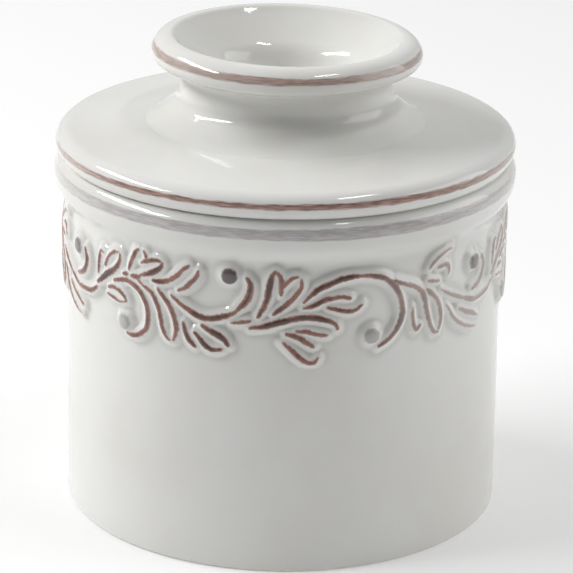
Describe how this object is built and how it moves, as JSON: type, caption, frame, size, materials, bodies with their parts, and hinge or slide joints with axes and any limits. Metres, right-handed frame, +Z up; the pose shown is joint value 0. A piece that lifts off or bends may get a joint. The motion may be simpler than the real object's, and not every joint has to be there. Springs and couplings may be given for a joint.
{
  "type": "butter crock",
  "caption": "Glazed stoneware butter crock: a straight pot with a raised vine round the shoulder, and a lid with a hollow flared knob and a hanging butter bell.",
  "frame": {"origin": "centre of the foot, on the surface that the crock stands on", "axes": "+Z up along the axis of the crock; -Y towards the front; +X to the right seen from the front"},
  "size_m": [0.1022, 0.1022, 0.107],
  "materials": {
    "white_glaze": "thick glossy warm white glaze, brown iron stain on the lid's edge and the knob's lip",
    "stained_glaze": "glossy glaze over brown and plum stain on the ridges of the vine"
  },
  "bodies": {
    "crock": {"crock_body": "white_glaze", "vine_relief": "stained_glaze"},
    "lid": {"lid_plate": "white_glaze", "flared_knob": "white_glaze", "butter_bell": "white_glaze"}
  },
  "joints": [
    {"name": "lid_lift", "type": "slide", "parent": "crock", "child": "lid", "axis": [0, 0, 1], "range_m": [0, 0.09]}
  ]
}
